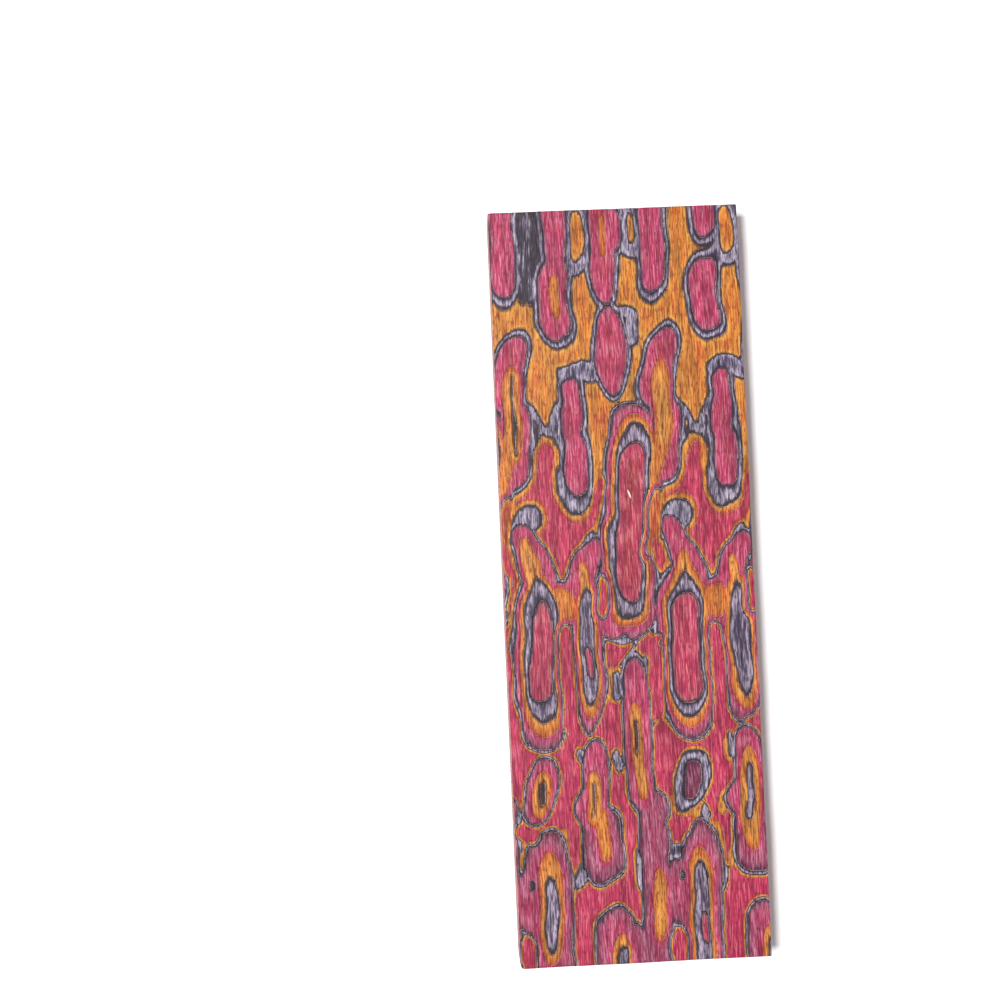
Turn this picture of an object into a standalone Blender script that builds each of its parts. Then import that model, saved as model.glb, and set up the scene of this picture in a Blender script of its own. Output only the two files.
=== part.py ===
# Laminated wood knife handle blank: dyed veneers glued face to face into one flat block, planed all round.
# Metres, +Z up. The origin is at the middle of the underside. The grain and the length run along Y.

import bmesh
import bpy

LENGTH = 0.120
WIDTH = 0.040
THICKNESS = 0.008

# From the underside up the stack repeats red, grey, orange, and a last red sheet closes it.
REPEATS = 7
GREY_VENEER = 0.000335
ORANGE_VENEER = 0.000335
GLUE_LINE = 0.00002

# Three upright corners are crisp. The fourth, at -X and -Y, is worn round.
CRISP_CORNER = 0.0002
WORN_CORNER = 0.0009
CORNER_SEGMENTS = 4

SHEET_COUNT = 3 * REPEATS + 1
RED_VENEER = (
    THICKNESS - REPEATS * (GREY_VENEER + ORANGE_VENEER) - (SHEET_COUNT - 1) * GLUE_LINE
) / (REPEATS + 1)

DYES = (
    {"name": "red", "thickness": RED_VENEER, "colour": (0.52, 0.055, 0.095, 1.0)},
    {"name": "grey", "thickness": GREY_VENEER, "colour": (0.17, 0.14, 0.22, 1.0)},
    {"name": "orange", "thickness": ORANGE_VENEER, "colour": (0.80, 0.30, 0.03, 1.0)},
)


def clear_scene():
    for obj in list(bpy.data.objects):
        bpy.data.objects.remove(obj, do_unlink=True)


def make_collection(name):
    collection = bpy.data.collections.new(name)
    bpy.context.scene.collection.children.link(collection)
    return collection


def dyed_wood(dye):
    material = bpy.data.materials.new(dye["name"] + "_veneer")
    material.use_nodes = True
    shader = material.node_tree.nodes["Principled BSDF"]
    shader.inputs["Base Color"].default_value = dye["colour"]
    shader.inputs["Roughness"].default_value = 0.55
    shader.inputs["Metallic"].default_value = 0.0
    return material


def round_upright_edges(sheet, radius, is_worn):
    # Rounds the upright edges at the worn corner, or those at the other three.
    edges = []
    for edge in sheet.edges:
        low, high = sorted(edge.verts, key=lambda vert: vert.co.z)
        upright = (high.co.xy - low.co.xy).length < CRISP_CORNER and high.co.z > low.co.z
        at_worn_corner = low.co.x < 0 and low.co.y < 0
        if upright and at_worn_corner == is_worn:
            edges.append(edge)
    bmesh.ops.bevel(
        sheet, geom=edges, offset=radius, segments=CORNER_SEGMENTS, profile=0.5, affect="EDGES"
    )


def make_veneer(number, dye, underside, material, collection):
    sheet = bmesh.new()
    bmesh.ops.create_cube(sheet, size=1.0)
    bmesh.ops.scale(sheet, vec=(WIDTH, LENGTH, dye["thickness"]), verts=sheet.verts)
    round_upright_edges(sheet, CRISP_CORNER, is_worn=False)
    round_upright_edges(sheet, WORN_CORNER, is_worn=True)

    mesh = bpy.data.meshes.new(f"veneer_{number:02d}_{dye['name']}")
    sheet.to_mesh(mesh)
    sheet.free()
    mesh.materials.append(material)
    veneer = bpy.data.objects.new(mesh.name, mesh)
    veneer.location.z = underside + dye["thickness"] / 2
    collection.objects.link(veneer)
    return veneer


def main():
    clear_scene()
    collection = make_collection("laminated_handle_blank")
    materials = [dyed_wood(dye) for dye in DYES]
    underside = 0.0
    for index in range(SHEET_COUNT):
        turn = index % len(DYES)
        make_veneer(index + 1, DYES[turn], underside, materials[turn], collection)
        underside += DYES[turn]["thickness"] + GLUE_LINE


main()
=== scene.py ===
# Laminated wood knife handle blank: 22 dyed veneers pressed over a knobbly plate, glued, and planed flat.
# Lengths are in millimetres until a mesh is made. x runs across the blank, y along the grain, z up.

import math

import bpy
import numpy as np
from mathutils.geometry import delaunay_2d_cdt
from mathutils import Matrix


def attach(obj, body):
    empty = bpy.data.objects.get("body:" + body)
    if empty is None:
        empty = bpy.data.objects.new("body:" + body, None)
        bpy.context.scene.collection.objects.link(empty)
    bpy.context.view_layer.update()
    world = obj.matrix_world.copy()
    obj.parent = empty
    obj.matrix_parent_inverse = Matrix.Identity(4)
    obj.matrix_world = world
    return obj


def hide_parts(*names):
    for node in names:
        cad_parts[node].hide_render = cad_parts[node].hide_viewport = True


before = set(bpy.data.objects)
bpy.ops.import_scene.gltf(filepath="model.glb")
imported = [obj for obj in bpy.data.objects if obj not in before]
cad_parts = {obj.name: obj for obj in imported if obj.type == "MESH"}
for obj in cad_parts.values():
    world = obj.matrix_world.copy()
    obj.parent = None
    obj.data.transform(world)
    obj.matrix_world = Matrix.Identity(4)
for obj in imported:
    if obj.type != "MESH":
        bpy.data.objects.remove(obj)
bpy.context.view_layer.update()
mm = 0.001
tiny = 1e-9  # keeps a division from 0

blank = {
    "width": 40.0,
    "length": 120.0,
    "thickness": 8.0,
    "greySheet": 0.335,  # real dyed veneers are 0.3 to 0.6 mm thick
    "orangeSheet": 0.335,
    "crispCorner": 0.2,
    "wornCorner": 0.9,  # the upright corner at -x and -y
    "arris": 0.22,  # how far the edges of the broad faces are rubbed round
    "arrisSwell": 0.35,  # share that this grows and shrinks by along an edge
    "arrisRipple": 0.25,  # the same in shorter waves, on the long edges
    "thinnestSkin": 0.03,  # what the planer leaves of the first sheet where it is thinnest
    "deepestCut": 2.6,  # and the most of the stack that it takes
}
sheetCount = len(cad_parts)
redCount = (sheetCount - 1) // 3 + 1
redSheet = (blank["thickness"] - (redCount - 1) * (blank["greySheet"] + blank["orangeSheet"])) / redCount
dyeOrder = ("red", "grey", "orange")  # from the underside up
sheetThickness = {"red": redSheet, "grey": blank["greySheet"], "orange": blank["orangeSheet"]}


# The press plate, whose knobs push the sheets up and so draw the figure once the face is planed.
# A knob's outline is given where it pushes the sheets up by "at". Up and down are its lengths along the
# grain from x, y, and top is its highest push. Outside the outline it falls by "fall" mm for each mm, and
# tail times as gently past its ends. Lean and bow bend it across the grain, cap is how long its rounded ends
# are, in half widths, and square is how full they are, where 2 is an ellipse.
# The face shows red where the push is under 0, then orange up to 0.335, grey to 0.67, red to 1.08, orange
# to 1.415, grey to 1.75 and red above that.
def knob(x, y, halfWidth, up, down, top, at=0.67, lean=0.0, bow=0.0, cap=1.7, fall=0.8, tail=1.5, square=2.2):
    return {
        "x": x, "y": y, "halfWidth": halfWidth, "up": up, "down": down, "top": top, "at": at,
        "lean": lean, "bow": bow, "cap": cap, "fall": fall, "tail": tail, "square": square,
    }


pressPlate = {
    "repeatAcross": 24.0,
    "blend": 0.045,  # how far neighbouring knobs run together
    "floor": -0.22,  # the push between the knobs, which rises towards the far end
    "farLift": 0.36,
    "farStart": 20.0,
    "farLength": 9.0,
    "unevenFloor": 0.05,
    "wobbleAcross": (0.14, 0.10),  # how far the outlines wobble, in long waves and in short ones
    "wobbleAlong": (0.35, 0.20),
    "nearSteeper": 1.0,  # how much steeper the lowest flanks get towards the near end
    "nearStart": 4.0,
    "nearLength": 8.0,
    "valleyDepth": 0.26,
    "deepestFall": 4.0,
    "underShift": 9.0,  # the underside's plate is shifted across by this
    "knobs": [
        # upper third
        knob(6.0, 57.0, 1.85, 10.0, 10.2, 0.95, cap=1.4, fall=0.40, tail=2.4),
        knob(14.5, 62.0, 1.8, 8.0, 6.8, 0.95, cap=1.9, fall=0.36),
        knob(13.9, 46.2, 2.1, 5.8, 6.1, 0.95, bow=0.9, cap=1.8, fall=0.38, tail=1.9, square=2.6),
        knob(-2.1, 56.0, 1.8, 9.0, 11.6, 1.00, lean=-0.02, cap=2.6, fall=0.42, square=2.0),
        knob(-0.4, 56.5, 1.4, 4.6, 3.6, 0.90, cap=2.6, fall=0.42),
        knob(-1.9, 55.0, 0.4, 4.0, 3.0, 1.20, at=1.08, cap=3.0),
        knob(1.3, 43.6, 1.5, 0.8, 0.9, 0.50, at=0.335, fall=0.4),
        knob(-1.3, 37.0, 2.4, 7.0, 6.8, 1.00, cap=2.2, fall=0.45, square=1.8),
        knob(2.4, 56.2, 1.7, 5.0, 4.0, 0.52, at=0.335, cap=1.2, fall=0.4, square=2.4),
        knob(18.0, 55.6, 2.2, 6.5, 5.9, 0.53, at=0.335, cap=1.2, fall=0.4, square=2.4),
        knob(2.3, 41.3, 1.0, 2.8, 3.0, 0.50, at=0.335, fall=0.5, square=3),
        knob(6.2, 34.5, 2.4, 5.8, 6.0, 1.02, lean=0.24, cap=1.8, fall=0.42, square=2.0),
        knob(6.6, 28.0, 1.45, 7.2, 7.0, 1.32, at=1.08, cap=3.0),
        knob(5.4, 20.0, 1.1, 6.0, 6.4, 1.25, at=1.08, lean=0.20, cap=3.0),
        knob(6.7, 23.0, 2.3, 6.0, 7.0, 1.00, lean=0.08, cap=1.2, fall=0.5, square=2.4),
        knob(5.0, 16.8, 1.2, 2.5, 1.2, 0.56, at=0.335, lean=0.5),
        knob(16.15, 29.5, 1.3, 3.8, 5.0, 0.95, cap=1.5, fall=0.36),
        knob(15.85, 26.0, 1.45, 4.0, 3.6, 0.96, fall=0.36),
        knob(16.5, 19.8, 1.75, 4.5, 5.0, 0.98, cap=1.5, fall=0.38, tail=2.4),
        knob(16.1, 15.6, 2.5, 3.0, 4.0, 0.48, at=0.335, cap=1.2, fall=0.6),
        knob(17.0, 34.3, 3.0, 1.3, 1.4, 0.56, at=0.335, fall=0.4, square=3),
        knob(19.3, 33.4, 1.4, 1.4, 1.6, 0.54, at=0.335, fall=0.4),
        knob(11.9, 24.6, 1.9, 0.7, 0.9, 0.44, at=0.335, fall=0.4),
        knob(13.5, 23.2, 0.9, 1.5, 1.8, 0.42, at=0.335, lean=-0.5, fall=0.5),
        knob(9.9, 23.0, 0.6, 1.5, 2.0, 0.42, at=0.335, lean=0.4, fall=0.5),
        knob(14.3, 15.8, 1.3, 3.4, 2.2, 0.48, at=0.335, cap=2.0, fall=0.6),
        knob(10.3, 27.0, 0.7, 1.8, 2.8, 0.46, at=0.335, lean=-0.40, fall=0.4),
        knob(13.3, 27.3, 0.6, 2.4, 3.0, 0.46, at=0.335, lean=0.36, fall=0.4),
        # middle
        knob(0.6, 9.75, 2.0, 12.9, 13.0, 2.08, at=1.75, lean=0.075, bow=0.3, cap=2.4, fall=0.5, square=2.1),
        knob(0.9, 10.6, 2.7, 15.4, 16.8, 1.60, at=1.415, lean=0.08, cap=2.0, fall=0.9, square=2.1),
        knob(-0.9, 3.5, 2.3, 8.0, 7.0, 1.60, at=1.415, cap=2.2, fall=0.9),
        knob(1.0, 12.0, 3.1, 15.2, 19.3, 1.20, at=1.08, lean=0.07, cap=1.5, fall=0.9, square=2.2),
        knob(0.9, 14.5, 3.5, 14.3, 22.0, 0.80, lean=0.05, cap=1.4, fall=1.0, tail=1.2, square=2.6),
        knob(0.4, -3.5, 3.8, 3.0, 5.9, 0.85, cap=1.5, fall=0.9, tail=1.0, square=1.3),
        knob(-2.8, -3.0, 2.3, 6.0, 5.9, 0.85, cap=1.2, fall=1.0),
        knob(0.2, -10.4, 0.36, 5.5, 3.6, 0.50, at=0.335, lean=0.72, bow=0.1, cap=3, fall=0.8),
        knob(-1.5, -9.3, 1.5, 0.5, 0.5, 0.50, at=0.335, fall=0.6, square=2.6),
        knob(4.0, 27.6, 0.35, 1.6, 1.6, 0.55, at=0.335),
        knob(20.3, 21.0, 0.7, 4.6, 4.0, 0.16, at=0.0),
        knob(8.0, 6.0, 1.85, 4.0, 5.2, 0.98, lean=-0.36, fall=0.8),
        knob(7.9, 10.2, 2.5, 2.9, 2.4, 0.51, at=0.335, lean=0.25, cap=1.2, fall=0.5, tail=1.2),
        knob(10.4, 3.4, 1.5, 3.5, 3.5, 0.90, lean=-0.35),
        knob(16.6, 2.0, 2.3, 5.2, 5.0, 0.95, lean=0.40, square=1.9),
        knob(18.0, 7.6, 0.8, 0.9, 1.6, 0.50, at=0.335, lean=0.6),
        knob(9.0, 0.4, 1.1, 4.4, 4.0, 1.34, at=1.08, cap=3.0),
        knob(13.5, -2.6, 2.1, 2.6, 3.2, 1.22, at=1.08, square=1.8),
        knob(16.8, 0.5, 0.8, 3.4, 4.0, 1.38, at=1.08, cap=3.0),
        # lower middle
        knob(0.3, -20.0, 2.1, 8.2, 16.0, 0.95, cap=2.4, fall=0.9, tail=2.8, square=1.9),
        knob(0.2, -25.0, 0.9, 6.5, 9.5, 1.34, at=1.08, lean=-0.04, cap=3.5),
        knob(0.1, -24.5, 0.25, 3.0, 3.0, 1.43, at=1.40),
        knob(2.1, -13.4, 0.45, 2.0, 1.8, 0.50, at=0.335, fall=1.0),
        knob(3.1, -19.3, 0.55, 2.6, 3.0, 0.46, at=0.335, cap=3, fall=1.0),
        knob(-2.75, -16.6, 0.8, 2.4, 2.4, 0.54, at=0.335, lean=0.08, cap=2.5),
        knob(-3.2, -28.3, 0.8, 2.0, 2.0, 0.50, at=0.335, square=1.6),
        # lower third
        knob(2.2, -46.0, 2.3, 13.0, 15.0, 0.76, cap=1.6, fall=1.1, square=3.0),
        knob(2.6, -50.5, 1.05, 5.8, 6.0, 1.33, at=1.08, cap=3.5),
        knob(5.8, -49.5, 2.2, 5.2, 4.4, 0.78),
        knob(-4.6, -59.0, 3.2, 7.6, 8.0, 0.80, cap=1.2, fall=0.9, square=2.2),
        knob(-3.9, -60.0, 1.5, 4.6, 5.0, 1.38, at=1.08, cap=2.0),
        knob(-3.7, -60.5, 0.8, 3.2, 5.0, 1.60, at=1.415, cap=2.0),
        knob(-1.0, -59.2, 1.6, 5.2, 5.0, 0.74, square=1.6),
    ],
    # knobs that are in one repeat only
    "oddKnobs": [
        # left repeat
        # this plateau is held on the near-black line between the orange and grey sheets: partly their own
        # dark line, partly painted shade
        knob(-14.0, 54.0, 1.9, 9.0, 9.6, 0.405, at=0.30, fall=0.4),
        knob(-9.6, 55.5, 1.6, 9.0, 8.0, 0.85, fall=0.42),
        knob(-9.8, 46.0, 0.8, 3.4, 3.4, 1.24, at=1.08, cap=3.0),
        knob(-10.3, 46.0, 2.1, 5.6, 6.6, 0.90, fall=0.40),
        knob(-17.2, 27.0, 0.3, 7.0, 6.0, 1.43, at=1.40, cap=3),
        knob(-14.2, -10.5, 1.75, 8.4, 7.6, 1.98, at=1.75, cap=5.0, fall=0.4, square=2.0),
        knob(-14.8, -14.4, 1.7, 3.0, 3.8, 1.98, at=1.75, cap=1.2, fall=0.5),
        knob(-14.4, -3.5, 2.4, 4.8, 3.0, 1.60, at=1.415, cap=2.0, fall=0.7, square=1.5),
        knob(-14.4, -10.5, 2.8, 10.8, 11.2, 1.64, at=1.415, cap=2.0, fall=0.7),
        knob(-14.5, -11.0, 3.3, 11.4, 12.9, 1.36, at=1.08, cap=1.6, fall=0.9),
        knob(-14.5, -13.0, 3.7, 12.0, 13.0, 0.80, cap=1.5, fall=1.1),
        knob(-15.7, 3.4, 1.0, 4.6, 4.0, 1.34, at=1.08, lean=-0.25, cap=3.0),
        knob(-7.0, -10.0, 1.2, 9.6, 9.3, 1.62, at=1.415, cap=3.5, fall=0.7),
        knob(-6.9, -12.0, 0.45, 2.8, 2.4, 1.90, at=1.75, cap=2.5, fall=0.8),
        knob(-7.0, -11.0, 1.7, 10.6, 10.2, 1.36, at=1.08, cap=3.0, fall=1.0),
        knob(-7.1, -13.0, 2.3, 12.0, 10.4, 0.80, cap=2.6, fall=1.2, square=1.5),
        knob(-15.4, -31.6, 2.6, 4.4, 5.4, 0.85, lean=0.22, fall=1.1, cap=1.6),
        knob(-15.5, -32.9, 1.6, 3.7, 3.3, 1.38, at=1.08, lean=0.14, cap=2.0, fall=1.0),
        knob(-15.2, -32.8, 0.5, 2.2, 2.0, 1.41, at=1.38, lean=0.08, cap=2.5),
        knob(-6.7, -28.5, 1.9, 4.0, 7.5, 0.90, fall=1.1, square=2.2),
        knob(-9.1, -26.4, 0.6, 1.2, 1.5, 0.50, at=0.335, square=1.6),
        knob(-7.8, -35.0, 2.6, 3.4, 3.6, 0.85, fall=1.1, square=1.5),
        knob(-6.0, -41.0, 3.1, 6.0, 6.2, 0.76, cap=1.4, fall=0.8, square=2.2),
        knob(-7.1, -34.0, 1.1, 5.2, 4.2, 1.36, at=1.08, cap=3.0),
        knob(-7.3, -33.6, 0.2, 3.0, 3.0, 1.43, at=1.40),
        knob(-5.8, -39.0, 1.0, 4.0, 5.2, 1.30, at=1.08, cap=3.0),
        knob(-9.7, -45.4, 0.9, 2.6, 2.6, 0.50, at=0.335, lean=0.30, square=1.6),
        knob(-14.6, -51.5, 1.1, 5.6, 6.5, 1.60, at=1.415, cap=4.0, fall=0.6),
        knob(-14.6, -50.5, 1.95, 8.8, 9.0, 1.30, at=1.08, cap=3.0, fall=1.0),
        knob(-15.0, -51.0, 3.7, 12.4, 14.0, 0.80, cap=2.0, fall=1.1),
        knob(-0.8, -45.0, 0.5, 3.0, 3.4, 0.48, at=0.335, bow=0.5),
        knob(-19.0, -38.0, 0.35, 3.0, 3.4, 0.44, at=0.335),
        knob(-18.5, -38.0, 0.6, 1.8, 1.8, 0.27, at=0.05),
        knob(-11.8, -42.2, 0.7, 4.0, 4.2, 0.30, at=0.05, lean=-0.06, cap=3.0),
        knob(-3.8, -16.0, 1.3, 2.8, 3.2, 0.30, at=0.05, lean=0.10),
        # right repeat
        knob(13.4, 20.4, 0.8, 3.0, 2.6, 0.20, at=0.06, lean=0.1, fall=0.4),
        knob(10.4, 22.0, 0.6, 2.0, 2.4, 0.18, at=0.06, lean=0.3, fall=0.4),
        knob(8.65, -10.8, 2.2, 8.7, 8.6, 1.98, at=1.75, cap=1.8, fall=0.45, square=2.4),
        knob(9.1, -3.5, 2.4, 4.8, 3.0, 1.60, at=1.415, cap=2.0, fall=0.7, square=1.5),
        knob(9.2, -2.5, 3.1, 5.8, 3.0, 1.36, at=1.08, cap=1.8, fall=0.9, square=1.5),
        knob(8.6, -11.1, 2.8, 10.7, 10.7, 1.68, at=1.415, cap=1.8, fall=0.7, square=2.2),
        knob(8.6, -11.5, 3.25, 12.0, 11.8, 1.36, at=1.08, cap=1.6, fall=0.9),
        knob(8.9, -13.0, 3.6, 12.0, 12.1, 0.80, cap=1.4, fall=1.1),
        knob(17.6, -11.5, 1.65, 11.2, 7.5, 1.62, at=1.415, lean=-0.05, cap=4.6, fall=0.7, square=1.8),
        knob(17.4, -10.6, 2.2, 11.4, 10.4, 1.36, at=1.08, lean=-0.03, cap=2.6, fall=1.0),
        knob(16.9, -12.6, 2.6, 12.0, 10.6, 0.80, cap=2.4, fall=1.2, square=1.5),
        knob(8.6, -31.8, 1.2, 3.2, 3.2, 0.705, lean=0.12, fall=0.5),
        knob(8.5, -31.8, 2.9, 5.2, 4.8, 0.56, at=0.335, lean=0.22, fall=0.6, square=2.2),
        knob(10.5, -37.0, 0.9, 1.6, 1.6, 0.50, at=0.335, square=1.5),
        knob(5.7, -42.8, 1.1, 1.2, 1.2, 0.60, at=0.335),
        knob(17.8, -30.5, 2.3, 6.6, 9.0, 0.90, cap=1.5, fall=1.1),
        knob(15.9, -34.2, 2.0, 3.2, 3.2, 0.85, fall=1.0, square=1.4),
        knob(17.9, -41.5, 2.9, 5.6, 5.4, 0.76, cap=1.4, fall=0.7),
        knob(17.7, -35.2, 1.6, 8.3, 8.4, 1.36, at=1.08, cap=3.5, fall=1.0),
        knob(17.7, -34.0, 0.45, 4.4, 4.2, 1.60, at=1.415, cap=3.0),
        knob(15.0, -25.8, 0.5, 2.0, 1.8, 0.50, at=0.335),
        knob(9.2, -51.5, 1.2, 7.4, 12.0, 1.61, at=1.415, cap=4.0, fall=0.6),
        knob(9.7, -55.2, 0.45, 2.6, 2.6, 1.92, at=1.75, cap=3.0),
        knob(9.2, -51.5, 2.0, 9.4, 12.0, 1.30, at=1.08, cap=3.0, fall=1.0),
        knob(9.3, -51.0, 3.2, 12.6, 14.0, 0.80, lean=0.04, cap=2.4, fall=1.1),
        knob(13.0, -46.6, 0.5, 2.0, 2.4, 0.50, at=0.335, square=1.6),
        knob(4.2, -38.5, 0.5, 5.2, 5.6, 0.50, at=0.335, lean=-0.12),
        knob(8.0, -36.9, 1.9, 2.0, 1.8, 0.30, at=0.05, lean=-1.8, cap=0.8),
        knob(12.5, -41.2, 0.9, 4.0, 3.4, 0.30, at=0.05, lean=-0.10, cap=3.0),
        knob(13.6, -34.8, 1.0, 2.2, 2.4, 0.30, at=0.05, lean=0.10),
        knob(14.5, -26.4, 1.0, 2.0, 2.4, 0.30, at=0.05, lean=-0.10),
        knob(14.3, -43.4, 0.7, 2.8, 2.8, 0.30, at=0.05, lean=0.25, cap=3.0),
    ],
    # hollows that let the sheets down again
    "dents": [
        knob(18.0, 55.7, 1.1, 4.0, 3.9, 0.12, at=0.335, cap=2.8, fall=0.7, square=2.0),
        knob(2.8, 57.2, 0.5, 2.2, 2.4, 0.18, at=0.335, cap=2.8, fall=0.7),
        knob(4.5, 9.8, 0.7, 4.6, 5.0, 0.0, at=0.06, lean=0.14, cap=2.5, fall=1.2),
        knob(4.9, 4.4, 0.65, 2.6, 2.4, -0.08, at=0.02, lean=-0.24, cap=2.0, fall=1.2),
        knob(19.4, 13.5, 0.6, 3.4, 4.6, -0.16, at=-0.04, lean=0.26, fall=1.2, cap=3),
        knob(-4.4, -1.8, 0.45, 2.8, 3.0, 0.02, at=0.10, fall=1.0, cap=3),
        knob(13.6, -13.0, 0.75, 6.0, 10.0, -0.20, at=-0.05, fall=1.2, cap=3),
        knob(3.7, -14.0, 0.85, 4.6, 7.5, -0.20, at=-0.05, lean=0.04, cap=2, fall=1.3, tail=1.0),
        knob(3.2, -9.4, 0.7, 1.3, 1.6, -0.20, at=-0.05, lean=0.60, cap=2, fall=1.3, tail=1.0),
        knob(-2.6, -11.1, 0.75, 0.9, 1.5, -0.20, at=-0.05, lean=-0.1, fall=1.2, tail=1.0, square=1.5),
        knob(6.2, -38.6, 1.4, 1.0, 1.1, -0.20, at=-0.05, fall=0.9, lean=-0.4, square=1.6),
        knob(5.5, -58.5, 0.7, 3.4, 4.0, -0.20, at=-0.05, fall=0.9, square=1.6),
        knob(6.4, -46.9, 0.3, 0.6, 0.6, 0.50, at=0.58, fall=0.6),
    ],
}


def smoothStep(value):
    value = np.clip(value, 0, 1)
    return value * value * (3 - 2 * value)


def aroundKnob(x, y, shape, shift, sign):
    # how far this knob pushes the sheets up, or with sign -1 lets them down
    away = np.abs(y - shape["y"])
    length = np.where(y > shape["y"], shape["up"], shape["down"])
    cap = np.minimum(shape["cap"] * shape["halfWidth"], length)
    middle = shape["x"] + shift + shape["lean"] * (y - shape["y"]) + shape["bow"] * (away / length) ** 2
    across = (np.abs(x - middle) / shape["halfWidth"]) ** shape["square"]
    end = (np.maximum(away - length + cap, 0) / cap) ** shape["square"]
    both = np.maximum(across + end, tiny)
    reach = both ** (1 / shape["square"])
    inside = (shape["top"] - shape["at"]) * (1 - reach**4)
    outside = shape["fall"] * (reach - 1) * (across * shape["halfWidth"] + end * cap / shape["tail"]) / both
    return shape["at"] + np.where(reach < 1, inside, -sign * np.minimum(outside, pressPlate["deepestFall"]))


def pushedUp(x, y):
    # how far the sheets are pushed up at each place, from where the top red sheet is planed through
    # the waves are 6 to 31 mm long and don't fit together, so that no wobble comes back
    plate = pressPlate
    long, short = plate["wobbleAcross"]
    wavyX = x + long * np.sin(y / 2.3 + 1.1 * np.sin(x / 3.1)) + short * np.sin(y / 1.1 + x / 1.9 + 2)
    long, short = plate["wobbleAlong"]
    wavyY = y + long * np.sin(x / 1.7 + 0.8 * np.sin(y / 4.3)) + short * np.sin(x / 0.9 + y / 3.1)
    uneven = plate["unevenFloor"] * np.sin(x / 1.3 + 1.7 * np.sin(y / 5.0))
    uneven *= np.sin(y / 3.7 + 1.3 * np.sin(x / 2.9))
    lift = plate["farLift"] * smoothStep((wavyY - plate["farStart"]) / plate["farLength"])

    # knobs and floor run together where they are about as high
    blend = plate["blend"]
    repeats = [step * plate["repeatAcross"] for step in (-1, 0, 1)]
    total = np.exp((plate["floor"] + lift + uneven) / blend)
    placed = [(shape, shift) for shape in plate["knobs"] for shift in repeats]
    placed += [(shape, 0) for shape in plate["oddKnobs"]]
    for shape, shift in placed:
        total += np.exp(aroundKnob(wavyX, wavyY, shape, shift, 1) / blend)
    height = blend * np.log(total)
    for shape in plate["dents"]:
        for shift in repeats:
            bowl = aroundKnob(wavyX, wavyY, shape, shift, -1)
            height = -blend * np.log(np.exp(-height / blend) + np.exp(-bowl / blend))

    # towards the near end the last sheets before the floor are pressed into steep flanks
    steep = 1 + plate["nearSteeper"] * smoothStep((plate["nearStart"] - y) / plate["nearLength"])
    greyShows = blank["orangeSheet"]
    height = np.where(height < greyShows, greyShows - (greyShows - height) * steep, height)
    depth = plate["valleyDepth"]
    valleys = depth * (np.exp(np.minimum(height, 0) / depth) - 1)
    return np.where(height < 0, valleys, height)


# The sheets: a flat stack, cut where the planed face runs through it and then waved.
pointGrid = {
    "showSpacing": 0.46,  # fine enough for the outlines on the show face
    "underSpacing": 0.75,
    "edgeInsets": (0.0, 0.12, 0.25, 0.55),  # lines of points near the edges, for their rounding
    "evenFrom": 0.9,
    "rimRows": 9,  # inside the block, the rows near its edges keep every second point
    "rimStep": 2,
    "insideStep": 4,  # and the others every fourth
}


def gridLines(size, spacing):
    half = size / 2
    nearEdge = [half - inset for inset in pointGrid["edgeInsets"]]
    inner = half - pointGrid["evenFrom"]
    count = round(2 * inner / spacing)
    middle = [inner * (2 * step / count - 1) for step in range(count + 1)]
    return np.array([-line for line in nearEdge] + middle + nearEdge[::-1])


def gridOverBlank(spacing, pushed):
    # points are x, y and how much of the stack is planed away there
    lines = gridLines(blank["width"], spacing), gridLines(blank["length"], spacing)
    x, y = (axis.ravel() for axis in np.meshgrid(*lines, indexing="ij"))
    planed = redSheet + np.clip(pushed(x, y), blank["thinnestSkin"] - redSheet, blank["deepestCut"])
    points = np.stack([x, y, planed], axis=1)

    # two triangles for each cell, split along the other diagonal in every second cell
    cells = np.arange(len(lines[0]) - 1), np.arange(len(lines[1]) - 1)
    column, row = (axis.ravel() for axis in np.meshgrid(*cells, indexing="ij"))
    a = column * len(lines[1]) + row
    b = a + len(lines[1])
    turned = ((column + row) % 2 == 1)[:, None]
    first = np.where(turned, np.stack([a, b, a + 1], 1), np.stack([a, b, b + 1], 1))
    second = np.where(turned, np.stack([b, b + 1, a + 1], 1), np.stack([a, b + 1, a + 1], 1))
    return points, np.concatenate([first, second])


def sparseGrid(points):
    # keeps every point of a grid along its edges and few inside, where no eye reaches
    column, row = (np.unique(points[:, axis], return_inverse=True)[1].ravel() for axis in (0, 1))
    fromEdge = np.minimum(np.minimum(column, column.max() - column), np.minimum(row, row.max() - row))
    step = np.where(fromEdge > pointGrid["rimRows"], pointGrid["insideStep"], pointGrid["rimStep"])
    points = points[(fromEdge == 0) | (column % step + row % step == 0)]
    wholeArea, sameWithin = 0, 1e-6
    joined = delaunay_2d_cdt([point[:2].tolist() for point in points], [], [], wholeArea, sameWithin)
    order = [sources[0] for sources in joined[3]]
    return points[order], np.array(joined[2])


def cutAlong(points, triangles, level):
    # splits the triangles where the planed depth passes through the level
    points = points.copy()
    nudge = 1e-5  # mm, so that no point lies on the level itself
    points[np.abs(points[:, 2] - level) < nudge, 2] = level - nudge
    deeper = points[:, 2] > level
    count = deeper[triangles].sum(1)
    crossed = (count == 1) | (count == 2)
    kept, split = triangles[~crossed], triangles[crossed]
    isDeeper = deeper[split]
    # a is the corner that the level cuts off from b and c
    single = np.where(count[crossed] == 1, isDeeper.argmax(1), (~isDeeper).argmax(1))
    a, b, c = np.take_along_axis(split, (single[:, None] + np.arange(3)) % 3, axis=1).T
    edges = np.sort(np.concatenate([np.stack([a, b], 1), np.stack([a, c], 1)]), axis=1)
    edges, places = np.unique(edges, axis=0, return_inverse=True)
    start, end = points[edges[:, 0]], points[edges[:, 1]]
    share = (level - start[:, 2]) / (end[:, 2] - start[:, 2])
    added = start + share[:, None] * (end - start)
    added[:, 2] = level
    ab, ac = (places.ravel() + len(points)).reshape(2, -1)
    pieces = [kept] + [np.stack(corners, 1) for corners in ((a, ab, ac), (ab, b, c), (ab, c, ac))]
    return np.concatenate([points, added]), np.concatenate(pieces)


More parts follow.
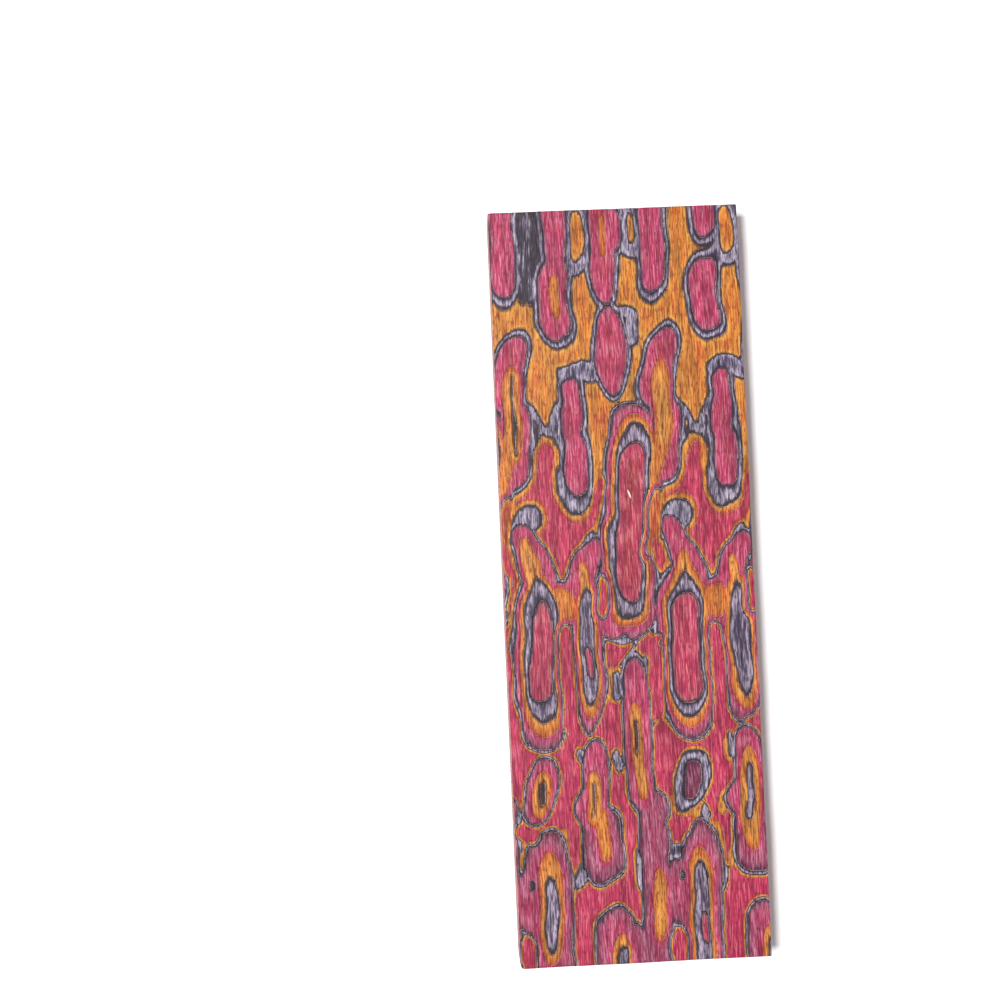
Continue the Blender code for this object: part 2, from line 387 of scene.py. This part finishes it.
def usedOnly(points, triangles):
    used, triangles = np.unique(triangles, return_inverse=True)
    return points[used], triangles.reshape(-1, 3)


def roundOver(fromFirst, fromSecond, radius):
    # moves points near the edge where two faces meet onto a quarter round
    a = np.clip(1 - fromFirst / radius, 0, 1)
    b = np.clip(1 - fromSecond / radius, 0, 1)
    both = (a > 0) & (b > 0)
    scale = np.where(both, np.maximum(a, b) / np.maximum(np.hypot(a, b), tiny), 1)
    first = np.where(both, radius * (1 - a * scale), fromFirst)
    second = np.where(both, radius * (1 - b * scale), fromSecond)
    return first, second


def rubbedEdges(x, y, z):
    # distances in from the side, the end and the nearer broad face, rounded over pair by pair
    side = blank["width"] / 2 - np.abs(x)
    end = blank["length"] / 2 - np.abs(y)
    isTop = z > blank["thickness"] / 2
    face = np.where(isTop, blank["thickness"] - z, z)
    corner = np.where((x < 0) & (y < 0), blank["wornCorner"], blank["crispCorner"])
    side, end = roundOver(side, end, corner)
    # the four long edges and the four short ones are each rubbed in their own way
    swell = blank["arrisSwell"] * np.sin(y / 5.1 + np.sign(x))
    ripple = blank["arrisRipple"] * np.sin(y / 1.9 + np.where(isTop, 2, -2))
    side, face = roundOver(side, face, blank["arris"] * (1 + swell + ripple))
    swell = blank["arrisSwell"] * np.sin(x / 3.3 + np.sign(y))
    end, face = roundOver(end, face, blank["arris"] * (1 + swell))
    x = np.sign(x) * (blank["width"] / 2 - side)
    y = np.sign(y) * (blank["length"] / 2 - end)
    return x, y, np.where(isTop, blank["thickness"] - face, face)


def innerFace(points, triangles, inner, under):
    # the points and triangles of a sheet's inner face, and which point of it lies under each outer one
    if under:
        places = {tuple(place): len(points) + index for index, place in enumerate(under[0][:, :2].tolist())}
        innerIndex = np.array([places.get(tuple(place), 0) for place in points[:, :2].tolist()])
        return under[0], len(points) + under[1], innerIndex
    goesOn = points[:, 2] < inner
    innerIndex = np.arange(len(points))
    innerIndex[goesOn] = len(points) + np.arange(goesOn.sum())
    return points[goesOn], innerIndex[triangles], innerIndex


def triangleMesh(name, points, triangles):
    mesh = bpy.data.meshes.new(name)
    mesh.vertices.add(len(points))
    mesh.vertices.foreach_set("co", (points * mm).ravel())
    mesh.loops.add(triangles.size)
    mesh.loops.foreach_set("vertex_index", triangles.ravel())
    mesh.polygons.add(len(triangles))
    mesh.polygons.foreach_set("loop_start", np.arange(0, triangles.size, 3))
    mesh.update(calc_edges=True)
    return mesh


def sheetMesh(name, grid, under, outer, inner, isTop):
    # outer and inner say where the sheet lies in the flat stack, counted in from the nearer broad face
    # under is a grid for the inner face, where that has fewer points than the outer one
    points, triangles = cutAlong(*grid, inner)
    triangles = triangles[points[triangles, 2].mean(1) < inner]
    points, triangles = usedOnly(points, triangles)
    points, triangles = usedOnly(*cutAlong(points, triangles, outer))
    innerPoints, innerTriangles, innerIndex = innerFace(points, triangles, inner, under)

    # press the sheet over the plate: the waves die out towards the middle of the block
    x, y, planed = np.concatenate([points, innerPoints]).T
    level = np.repeat([outer, inner], [len(points), len(innerPoints)])
    squeeze = 1 - planed / (blank["thickness"] / 2)
    depth = np.maximum(level - planed, 0) / squeeze
    pressed = rubbedEdges(x, y, blank["thickness"] - depth if isTop else depth)

    # the rim joins the two faces where a triangle's edge has no neighbour
    edges = np.concatenate([triangles[:, [0, 1]], triangles[:, [1, 2]], triangles[:, [2, 0]]])
    codes = edges[:, 0] * len(points) + edges[:, 1]
    a, b = edges[~np.isin(codes, edges[:, 1] * len(points) + edges[:, 0])].T
    faces = np.concatenate([
        triangles,
        innerTriangles[:, ::-1],
        np.stack([innerIndex[a], innerIndex[b], b], 1),
        np.stack([innerIndex[a], b, a], 1),
    ])
    whole = (faces[:, 0] != faces[:, 1]) & (faces[:, 1] != faces[:, 2]) & (faces[:, 2] != faces[:, 0])
    faces = faces[whole]
    mesh = triangleMesh(name, np.stack(pressed, 1), faces if isTop else faces[:, ::-1])

    # each point's height in its own flat sheet, which the dye's colours go by
    stack = np.maximum(level, planed)
    intoSheet = inner - stack if isTop else stack - outer
    mesh.attributes.new("intoSheet", "FLOAT", "POINT").data.foreach_set("value", intoSheet)
    return mesh


def linearColour(hexValue):
    channels = [int(hexValue[place:place + 2], 16) / 255 for place in (0, 2, 4)]
    linear = [c / 12.92 if c <= 0.04045 else ((c + 0.055) / 1.055) ** 2.4 for c in channels]
    return (*linear, 1.0)


def addNode(tree, kind, settings=None, inputs=None):
    # an input is a value, a socket, or a node, of which the first output in use is linked
    node = tree.nodes.new(kind)
    for name, value in (settings or {}).items():
        setattr(node, name, value)
    for name, value in (inputs or {}).items():
        if isinstance(value, bpy.types.Node):
            value = next(output for output in value.outputs if output.enabled)
        if isinstance(value, bpy.types.NodeSocket):
            tree.links.new(value, node.inputs[name])
        else:
            node.inputs[name].default_value = value
    return node


def newMaterial(name):
    material = bpy.data.materials.new(name)
    material.use_nodes = True
    return material, material.node_tree, material.node_tree.nodes["Principled BSDF"]


# How each dyed veneer looks from its underside, at 0 mm, to its top. Below and above are its neighbours.
# The dye of a neighbour bleeds in with the resin, and each side of a grey sheet has a near-black line.
# Tones are the sheets of one dye from the face inwards, as each came out of its own dye bath.
# Fibres and shares are given as the noises and shares of the grain are, below.
veneers = {
    "red": {
        "layers": [
            (-0.16, "DC8632"), (-0.06, "D87434"), (-0.01, "B0462E"), (0.03, "B83C3E"), (0.12, "BE365A"),
            (0.29, "BE3860"), (0.33, "A4506A"), (0.375, "84405A"), (0.395, "3C2438"), (0.43, "28202C"),
            (0.50, "2E2434"), (0.54, "6E6680"), (0.62, "B4AEBC"),
        ],
        "paleFibre": "F09AAE",
        "darkFibre": "78183A",
        "fibres": (0.21, 3.0, 2.0, 19.0),
        "shares": {"pale": ("own", 0.50, 0.64, 0.0, 0.40), "dark": ("own", 0.50, 0.37, 0.0, 0.72)},
        "tones": {
            "crimson veneer": (0.84, 0.70, 0.66),
            "rose veneer": (0.82, 1.00, 0.96),
            "salmon veneer": (0.84, 0.98, 0.76),
        },
    },
    "grey": {
        "layers": [
            (-0.16, "BE3860"), (-0.084, "A4506A"), (-0.039, "84405A"), (-0.019, "3C2438"), (0.016, "28202C"),
            (0.086, "2E2434"), (0.126, "6E6680"), (0.205, "B4AEBC"), (0.235, "8E8698"), (0.262, "302830"),
            (0.325, "2A2220"), (0.350, "5C4628"), (0.38, "B87A34"), (0.44, "E8A046"),
        ],
        "paleFibre": "DCD8E0",
        "darkFibre": "3A2E42",
        "fibres": (0.22, 1.8, 2.0, 19.0),
        "shares": {"pale": ("own", 0.50, 0.64, 0.0, 0.45), "dark": ("own", 0.50, 0.37, 0.0, 0.80)},
        "tones": {
            "pale slate veneer": (0.78, 0.72, 0.78),
            "slate veneer": (0.74, 0.64, 0.70),
        },
    },
    "orange": {
        "layers": [
            (-0.16, "B4AEBC"), (-0.10, "8E8698"), (-0.073, "302830"), (-0.010, "2A2220"), (0.015, "5C4628"),
            (0.045, "A47830"), (0.07, "D8A048"), (0.10, "F0B858"), (0.14, "E6A044"), (0.20, "DC8A36"),
            (0.27, "D67236"), (0.325, "B0462E"), (0.365, "B83C3E"), (0.455, "BE365A"),
        ],
        "paleFibre": "F8C468",
        "darkFibre": "7E3418",
        "fibres": (0.21, 3.2, 2.0, 19.0),
        "shares": {"pale": ("own", 0.50, 0.64, 0.0, 0.50), "dark": ("own", 0.50, 0.37, 0.0, 0.72)},
        "tones": {
            "amber veneer": (0.74, 0.63, 0.58),
            "burnt amber veneer": (0.74, 0.58, 0.60),
        },
    },
}
grain = {
    # each noise has its width across the grain and its length along it in mm, its detail and an offset;
    # real fibres are about 0.03 mm wide and pores 0.08 mm, too fine to show, so both are drawn 0.2 mm wide
    "noises": {
        "fuzz": (0.18, 0.35, 3.0, 31.0),
        "stray": (6.0, 14.0, 2.0, 3.0),
        "fine": (0.24, 2.6, 2.0, 0.0),
        "pores": (0.20, 1.1, 1.0, 7.0),
        "streaks": (0.75, 9.0, 2.0, 11.0),
    },
    # each share has what it goes by, two values of that, and how much there is at each of them
    "shares": {
        "pore": ("pores", 0.54, 0.66, 0.0, 0.72),
        "shade": ("streaks", 0.30, 0.70, 0.66, 1.18),  # how bright a streak is
        "showsPale": ("lightness", 0.02, 0.12, 0.15, 1.0),  # the near-black lines hide the pale fibres
        "satin": ("fine", 0.30, 0.70, 0.46, 0.60),  # the roughness of a planed face
        "sawn": ("flatness", 0.75, 0.35, 0.0, 1.0),
        "fuzzy": ("fuzz", 0.30, 0.70, 0.336, 0.84),
        "inScratch": ("fromScratch", 1.1, 0.5, 0.0, 1.0),
        "onTop": ("upward", 0.5, 0.9, 0.0, 1.0),
    },
    "rag": 0.16,  # mm of stack, how ragged the planer leaves the border between two sheets
    "wander": 0.5,  # mm, how far the fibres stray sideways
    "gloss": 0.25,
    "planedBump": 0.014,  # mm
    "sawnBump": 0.05,
    "sawnRoughness": 0.28,  # on top of a planed face's
    "sawnPaleAndLit": "EAC0B8",  # the fuzz of a sawn side, drawn pale: partly its own paler look, partly painted light
    "scratchPlace": (0.62, 14.25, 0.0),  # a short scratch in the show face, drawn pale as a painted highlight
    "scratchLean": 20.0,  # degrees
    "scratchSize": (0.16, 0.85, 100.0),  # half width and half length in mm
    # the scratch's pale colour is a painted highlight
    "scratchHighlight": "F4D6D2",
}


def veneerMaterial(name, look, tone):
    # dyed veneer in resin, planed: satin, with the long fine fibres of a rotary-cut sheet
    # a Mix node has its two colours at 6 and 7
    material, tree, shader = newMaterial(name)
    place = addNode(tree, "ShaderNodeTexCoord").outputs["Object"]
    millimetres = addNode(tree, "ShaderNodeVectorMath", {"operation": "SCALE"}, {0: place, "Scale": 1 / mm})

    # the noises that come after stray lie on the fibres, which stray sideways
    sources = {}
    lieOn = millimetres
    for noiseName, (width, length, detail, offset) in {**grain["noises"], "own": look["fibres"]}.items():
        stretched = addNode(tree, "ShaderNodeVectorMath", {"operation": "MULTIPLY_ADD"}, {
            0: lieOn, 1: (1 / width, 1 / length, 1 / width), 2: (offset,) * 3})
        sources[noiseName] = addNode(tree, "ShaderNodeTexNoise", {}, {
            "Vector": stretched, "Scale": 1.0, "Detail": detail})
        if noiseName == "stray":
            sideways = addNode(tree, "ShaderNodeMapRange", {"clamp": False}, {
                "Value": sources["stray"], "To Min": -grain["wander"], "To Max": grain["wander"]})
            strayed = addNode(tree, "ShaderNodeCombineXYZ", {}, {"X": sideways})
            lieOn = addNode(tree, "ShaderNodeVectorMath", {"operation": "ADD"}, {0: millimetres, 1: strayed})

    # where in the stack the surface is, with the border between sheets torn along the fibres
    intoSheet = addNode(tree, "ShaderNodeAttribute", {"attribute_name": "intoSheet"}).outputs["Fac"]
    torn = addNode(tree, "ShaderNodeMath", {"operation": "ADD"}, {0: sources["fine"], 1: sources["streaks"]})
    ragged = addNode(tree, "ShaderNodeMapRange", {"clamp": False}, {
        "Value": torn, "From Max": 2.0, "To Min": -grain["rag"], "To Max": grain["rag"]})
    level = addNode(tree, "ShaderNodeMath", {"operation": "ADD"}, {0: intoSheet, 1: ragged})
    layers = look["layers"]
    low, high = layers[0][0], layers[-1][0]
    onRamp = addNode(tree, "ShaderNodeMapRange", {}, {"Value": level, "From Min": low, "From Max": high})
    ramp = addNode(tree, "ShaderNodeValToRGB", {}, {"Fac": onRamp})
    stops = ramp.color_ramp.elements
    while len(stops) < len(layers):
        stops.new(0.5)
    for stop, (height, colour) in zip(stops, layers):
        stop.position = (height - low) / (high - low)
        stop.color = linearColour(colour)
    dyed = addNode(tree, "ShaderNodeMix", {"data_type": "RGBA", "blend_type": "MULTIPLY"}, {
        "Factor": 1.0, 6: ramp, 7: (*tone, 1.0)})
    sources["lightness"] = addNode(tree, "ShaderNodeRGBToBW", {}, {"Color": dyed})

    # which way the surface faces, and how far it is from the scratch
    normal = addNode(tree, "ShaderNodeNewGeometry").outputs["Normal"]
    sources["upward"] = addNode(tree, "ShaderNodeSeparateXYZ", {}, {0: normal}).outputs["Z"]
    sources["flatness"] = addNode(tree, "ShaderNodeMath", {"operation": "ABSOLUTE"}, {0: sources["upward"]})
    scratch = addNode(tree, "ShaderNodeMapping", {"vector_type": "TEXTURE"}, {
        "Vector": millimetres, "Location": grain["scratchPlace"],
        "Rotation": (0.0, 0.0, math.radians(grain["scratchLean"])), "Scale": grain["scratchSize"]})
    sources["fromScratch"] = addNode(tree, "ShaderNodeVectorMath", {"operation": "LENGTH"}, {0: scratch})

    # how much of each there is here
    shares = {}
    for shareName, (sourceName, start, end, atStart, atEnd) in {**grain["shares"], **look["shares"]}.items():
        shares[shareName] = addNode(tree, "ShaderNodeMapRange", {"interpolation_type": "SMOOTHSTEP"}, {
            "Value": sources[sourceName], "From Min": start, "From Max": end,
            "To Min": atStart, "To Max": atEnd})
    for shareName, first, second in (("pale", "pale", "showsPale"), ("scratch", "inScratch", "onTop"),
                                     ("sawnFuzzAndLight", "sawn", "fuzzy")):
        shares[shareName] = addNode(tree, "ShaderNodeMath", {"operation": "MULTIPLY"}, {
            0: shares[first], 1: shares[second]})

    # over the dye lie its fibres, pores and streaks, then the scratch, drawn pale as a painted highlight, and
    # the sawn fuzz, drawn pale partly as painted light
    paleFibre = tuple(a * b for a, b in zip(linearColour(look["paleFibre"]), (*tone, 1.0)))
    darkFibre = linearColour(look["darkFibre"])
    colour = dyed
    for shareName, over in (("pale", paleFibre), ("dark", darkFibre), ("pore", darkFibre)):
        colour = addNode(tree, "ShaderNodeMix", {"data_type": "RGBA"}, {
            "Factor": shares[shareName], 6: colour, 7: over})
    colour = addNode(tree, "ShaderNodeVectorMath", {"operation": "SCALE"}, {
        0: colour, "Scale": shares["shade"]})
    # the scratch's pale is a painted highlight, and the sawn sides' pale is partly painted light
    for shareName, over in (("scratch", grain["scratchHighlight"]), ("sawnFuzzAndLight", grain["sawnPaleAndLit"])):
        colour = addNode(tree, "ShaderNodeMix", {"data_type": "RGBA"}, {
            "Factor": shares[shareName], 6: colour, 7: linearColour(over)})

    # the sides and ends are sawn, not planed: rougher, with fuzz that stands up
    roughness = addNode(tree, "ShaderNodeMath", {"operation": "MULTIPLY_ADD"}, {
        0: shares["sawn"], 1: grain["sawnRoughness"], 2: shares["satin"]})
    height = addNode(tree, "ShaderNodeMix", {"data_type": "RGBA"}, {
        "Factor": shares["sawn"], 6: sources["fine"], 7: sources["fuzz"]})
    depth = addNode(tree, "ShaderNodeMapRange", {"interpolation_type": "SMOOTHSTEP"}, {
        "Value": shares["sawn"], "To Min": grain["planedBump"] * mm, "To Max": grain["sawnBump"] * mm})
    bump = addNode(tree, "ShaderNodeBump", {}, {"Strength": 1.0, "Distance": depth, "Height": height})

    tree.links.new(colour.outputs[2], shader.inputs["Base Color"])
    tree.links.new(roughness.outputs[0], shader.inputs["Roughness"])
    tree.links.new(bump.outputs[0], shader.inputs["Normal"])
    shader.inputs["Specular IOR Level"].default_value = grain["gloss"]
    return material


materials = {
    dye: [veneerMaterial(name, look, tone) for name, tone in look["tones"].items()]
    for dye, look in veneers.items()
}
print("materials made")


def makeSheet(number, grid, under, outer, inner, isTop):
    dye = dyeOrder[(number - 1) % 3]
    fromFace = (sheetCount - number if isTop else number - 1) // 3
    name = f"veneer_{number:02d}_{dye}"
    mesh = sheetMesh("wavy_" + name, grid, under, outer, inner, isTop)
    mesh.materials.append(materials[dye][min(fromFace, len(materials[dye]) - 1)])
    sheet = bpy.data.objects.new(mesh.name, mesh)
    bpy.context.scene.collection.objects.link(sheet)
    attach(sheet, "root")
    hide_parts(name)
    return len(mesh.polygons)


def makeBlock():
    # the underside wasn't seen: it gets the same plate, turned end for end and shifted across
    showGrid = gridOverBlank(pointGrid["showSpacing"], pushedUp)
    underGrid = gridOverBlank(
        pointGrid["underSpacing"], lambda x, y: pushedUp(x + pressPlate["underShift"], -y))
    print("planed faces worked out")
    total = 0
    for isTop, grid in ((True, showGrid), (False, underGrid)):
        deepest = grid[0][:, 2].max()
        inside = sparseGrid(grid[0])
        outer = 0.0
        for step in range(sheetCount // 2):
            number = sheetCount - step if isTop else step + 1
            inner = outer + sheetThickness[dyeOrder[(number - 1) % 3]]
            isFirstInside = outer >= deepest and grid is not inside
            total += makeSheet(number, grid, inside if isFirstInside else None, outer, inner, isTop)
            if isFirstInside:
                grid = inside
            outer = inner
    print("sheets made, triangles:", total)


makeBlock()


# Floor, light and camera.

studio = {
    "floor": "FCFCFC",
    "floorHalf": 3.0,  # lengths here are in metres
    "floorDrop": 0.00005,  # keeps the floor just clear of the underside
    "floorRoughness": 0.9,
    "keyPower": 4.7,
    "keyPlace": (-0.21, 0.05, 0.62),
    "keySize": 0.11,
    "ambient": "FAF6FA",
    "ambientStrength": 0.36,
    "lens": 50.0,
    "nearest": 0.005,  # nearer than this nothing is drawn
    "cameraPlace": (-0.0265, 0.0096, 0.2284),
    "cameraTurn": (1.26, -1.64, -2.51),  # degrees
}


def makeStudio():
    half = studio["floorHalf"]
    mesh = bpy.data.meshes.new("floor")
    corners = [(-half, -half, 0), (half, -half, 0), (half, half, 0), (-half, half, 0)]
    mesh.from_pydata(corners, [], [(0, 1, 2, 3)])
    floor = bpy.data.objects.new("floor", mesh)
    floor.location.z = -studio["floorDrop"]
    bpy.context.scene.collection.objects.link(floor)
    # matt white paper: bright and without gloss, so that only the soft shadow shows
    material, tree, shader = newMaterial("matt white paper")
    shader.inputs["Base Color"].default_value = linearColour(studio["floor"])
    shader.inputs["Roughness"].default_value = studio["floorRoughness"]
    mesh.materials.append(material)

    light = bpy.data.lights.new("key", "AREA")
    light.energy = studio["keyPower"]
    light.size = studio["keySize"]
    key = bpy.data.objects.new("key", light)
    key.location = studio["keyPlace"]
    key.rotation_euler = key.location.to_track_quat("Z", "Y").to_euler()
    bpy.context.scene.collection.objects.link(key)

    world = bpy.data.worlds.new("soft daylight")
    world.use_nodes = True
    background = world.node_tree.nodes["Background"]
    background.inputs["Color"].default_value = linearColour(studio["ambient"])
    background.inputs["Strength"].default_value = studio["ambientStrength"]
    bpy.context.scene.world = world
    bpy.context.scene.view_settings.view_transform = "Standard"

    lens = bpy.data.cameras.new("camera")
    lens.lens = studio["lens"]
    lens.clip_start = studio["nearest"]
    camera = bpy.data.objects.new("camera", lens)
    camera.location = studio["cameraPlace"]
    camera.rotation_euler = [math.radians(angle) for angle in studio["cameraTurn"]]
    bpy.context.scene.collection.objects.link(camera)
    bpy.context.scene.camera = camera
    print("studio made")


makeStudio()
